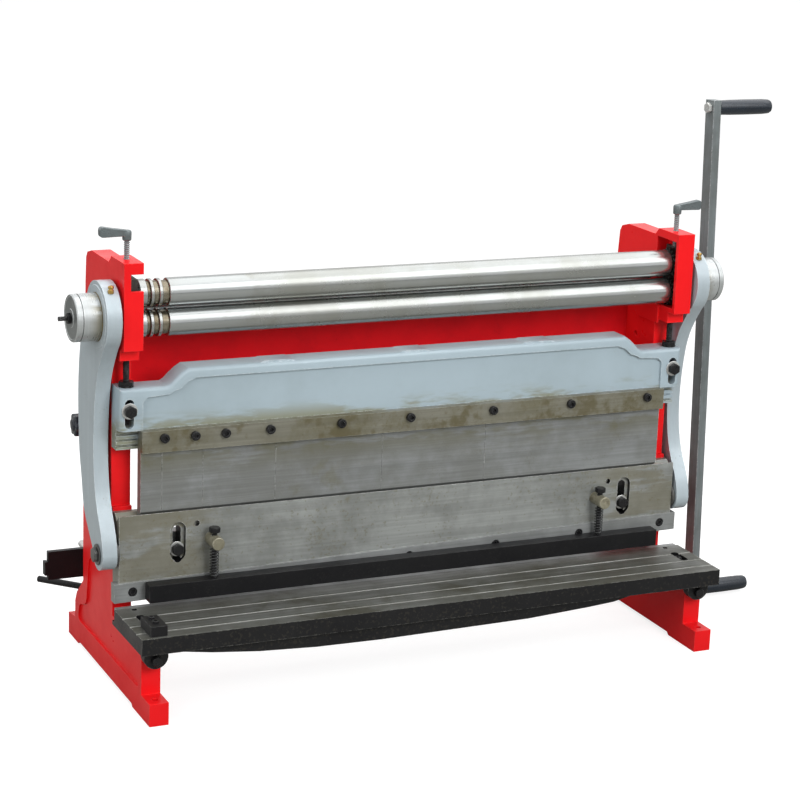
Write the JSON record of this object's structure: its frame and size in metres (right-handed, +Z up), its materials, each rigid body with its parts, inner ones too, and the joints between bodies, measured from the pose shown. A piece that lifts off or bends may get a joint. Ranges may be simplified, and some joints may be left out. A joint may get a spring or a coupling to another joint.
{
  "type": "sheet metal shear, brake and slip roll machine",
  "caption": "Bench machine with pinch rolls and a forming roll over a finger brake and a guillotine shear, driven by a long hand crank through bowed side arms.",
  "frame": {"origin": "centre of the four foot bolt holes, on the floor", "axes": "+X along the rolls, towards the crank; +Y from the front table to the back gauge; +Z up"},
  "size_m": [1.433, 0.556, 0.9826],
  "materials": {
    "red_enamel": "glossy red enamel over a casting",
    "grey_enamel": "pale grey-green casting paint",
    "ground_steel": "ground and oiled steel",
    "bare_casting": "milled cast iron, oiled",
    "rolled_steel": "polished roll steel",
    "black_steel": "black oxide",
    "black_paint": "satin black paint",
    "bright_hub": "turned bright steel",
    "grey_lever": "grey painted lever",
    "zinc_steel": "zinc plated",
    "yellow_zinc": "yellow passivated zinc",
    "oiler_brass": "brass",
    "grip_plastic": "black grip"
  },
  "bodies": {
    "frame": {"left_frame": "red_enamel", "right_frame": "red_enamel", "rear_panel": "red_enamel", "guide_bar": "ground_steel", "gear_cover": "red_enamel", "bearing_blocks": "bare_casting", "upper_beam": "grey_enamel", "frame_bolts": "black_steel", "frame_washers": "zinc_steel", "finger_1": "ground_steel", "finger_2": "ground_steel", "finger_3": "ground_steel", "finger_4": "ground_steel", "finger_5": "ground_steel", "finger_6": "ground_steel", "clamp_strip": "ground_steel", "clamp_screws": "black_steel", "table": "bare_casting", "lower_blade": "ground_steel", "table_adjusters": "black_steel", "table_screws": "black_steel", "side_stop": "grey_lever", "gauge_rods": "bright_hub"},
    "crank": {"crank_shaft": "bright_hub", "crank_bar": "grey_lever", "grip_pins": "zinc_steel"},
    "top_grip": {"crank_grip_top": "grip_plastic"},
    "bottom_grip": {"crank_grip_bottom": "grip_plastic"},
    "lower_roll": {"lower_roll": "rolled_steel", "lower_roll_gear": "bright_hub"},
    "upper_roll": {"upper_roll": "rolled_steel", "upper_roll_gear": "bright_hub"},
    "idler": {"idler_gear": "bright_hub"},
    "rear_roll": {"rear_roll": "rolled_steel"},
    "ram": {"ram": "bare_casting", "upper_blade": "ground_steel", "blade_screws": "black_steel", "spring_studs": "yellow_zinc", "arm_pins": "zinc_steel", "hold_spring_left": "black_steel", "hold_spring_right": "black_steel"},
    "hold_down": {"hold_down_bar": "black_paint", "hold_down_bolts": "black_steel"},
    "arm_left": {"arm_left": "bright_hub", "oil_cup_left": "oiler_brass"},
    "arm_right": {"arm_right": "bright_hub", "oil_cup_right": "oiler_brass"},
    "hub_left": {"hub_left": "bright_hub", "hub_screw_left": "black_steel"},
    "hub_right": {"hub_right": "bright_hub", "hub_screw_right": "black_steel"},
    "jack_left": {"beam_jack_left": "black_steel"},
    "jack_right": {"beam_jack_right": "black_steel"},
    "pressure_left": {"pressure_screw_left": "grey_lever"},
    "pressure_right": {"pressure_screw_right": "grey_lever"},
    "knob_left": {"side_knob_left": "black_steel"},
    "knob_right": {"side_knob_right": "black_steel"},
    "back_gauge": {"gauge_bar": "black_paint", "gauge_blocks": "black_paint"},
    "gauge_lever": {"gauge_lever": "black_steel"}
  },
  "joints": [
    {"name": "crank_turn", "type": "hinge", "parent": "frame", "child": "crank", "pos_m": [0, 0.0538, 0.64], "axis": [1, 0, 0], "continuous": true},
    {"name": "top_grip_turn", "type": "hinge", "parent": "crank", "child": "top_grip", "pos_m": [0.68, 0.06836, 0.96698], "axis": [1, 0, 0], "continuous": true},
    {"name": "bottom_grip_turn", "type": "hinge", "parent": "crank", "child": "bottom_grip", "pos_m": [0.68, 0.02614, 0.01902], "axis": [1, 0, 0], "continuous": true},
    {"name": "lower_roll_turn", "type": "hinge", "parent": "frame", "child": "lower_roll", "pos_m": [0, -0.0455, 0.647], "axis": [1, 0, 0], "continuous": true},
    {"name": "upper_roll_turn", "type": "hinge", "parent": "frame", "child": "upper_roll", "pos_m": [0, -0.0455, 0.6984], "axis": [1, 0, 0], "continuous": true},
    {"name": "idler_turn", "type": "hinge", "parent": "frame", "child": "idler", "pos_m": [0, 0.00235, 0.61804], "axis": [1, 0, 0], "continuous": true},
    {"name": "rear_roll_turn", "type": "hinge", "parent": "frame", "child": "rear_roll", "pos_m": [0, 0.016, 0.672], "axis": [1, 0, 0], "continuous": true},
    {"name": "ram_travel", "type": "slide", "parent": "frame", "child": "ram", "axis": [0, 0, 1], "range_m": [-0.03, 0.0025]},
    {"name": "hold_down_travel", "type": "slide", "parent": "ram", "child": "hold_down", "axis": [0, 0, 1], "range_m": [-0.0018, 0.0205], "deforming": ["hold_spring_left", "hold_spring_right"]},
    {"name": "arm_swing_left", "type": "hinge", "parent": "ram", "child": "arm_left", "pos_m": [0, -0.048, 0.247], "axis": [1, 0, 0], "range_deg": [-0.9, 3.5]},
    {"name": "arm_swing_right", "type": "hinge", "parent": "ram", "child": "arm_right", "pos_m": [0, -0.048, 0.247], "axis": [1, 0, 0], "range_deg": [-0.9, 3.5]},
    {"name": "hub_turn_left", "type": "hinge", "parent": "arm_left", "child": "hub_left", "pos_m": [0, -0.0365, 0.6606], "axis": [1, 0, 0], "continuous": true},
    {"name": "hub_turn_right", "type": "hinge", "parent": "arm_right", "child": "hub_right", "pos_m": [0, -0.0365, 0.6606], "axis": [1, 0, 0], "continuous": true},
    {"name": "jack_turn_left", "type": "hinge", "parent": "frame", "child": "jack_left", "pos_m": [-0.529, -0.046, 0.545], "axis": [0, 0, 1], "continuous": true},
    {"name": "jack_turn_right", "type": "hinge", "parent": "frame", "child": "jack_right", "pos_m": [0.529, -0.046, 0.545], "axis": [0, 0, 1], "continuous": true},
    {"name": "pressure_turn_left", "type": "hinge", "parent": "frame", "child": "pressure_left", "pos_m": [-0.529, -0.0455, 0.79], "axis": [0, 0, 1], "range_deg": [-160, 20]},
    {"name": "pressure_turn_right", "type": "hinge", "parent": "frame", "child": "pressure_right", "pos_m": [0.529, -0.0455, 0.79], "axis": [0, 0, 1], "range_deg": [-20, 160]},
    {"name": "knob_turn_left", "type": "hinge", "parent": "frame", "child": "knob_left", "pos_m": [-0.57, 0.09698, 0.437], "axis": [1, 0, 0], "continuous": true},
    {"name": "knob_turn_right", "type": "hinge", "parent": "frame", "child": "knob_right", "pos_m": [0.57, 0.09698, 0.437], "axis": [1, 0, 0], "continuous": true},
    {"name": "gauge_travel", "type": "slide", "parent": "frame", "child": "back_gauge", "axis": [0, 1, 0], "range_m": [0, 0.08]},
    {"name": "gauge_lever_turn", "type": "hinge", "parent": "back_gauge", "child": "gauge_lever", "pos_m": [-0.496, 0.197, 0.1], "axis": [0, 0, 1], "range_deg": [-90, 0]}
  ],
  "couplings": [
    {"joint": "idler_turn", "follows": "crank_turn", "ratio": -0.85},
    {"joint": "lower_roll_turn", "follows": "crank_turn", "ratio": 1},
    {"joint": "upper_roll_turn", "follows": "crank_turn", "ratio": -1},
    {"joint": "hub_turn_left", "follows": "crank_turn", "ratio": 1},
    {"joint": "hub_turn_right", "follows": "crank_turn", "ratio": 1},
    {"joint": "hold_down_travel", "follows": "ram_travel", "ratio": -0.68},
    {"joint": "arm_swing_right", "follows": "arm_swing_left", "ratio": 1}
  ]
}
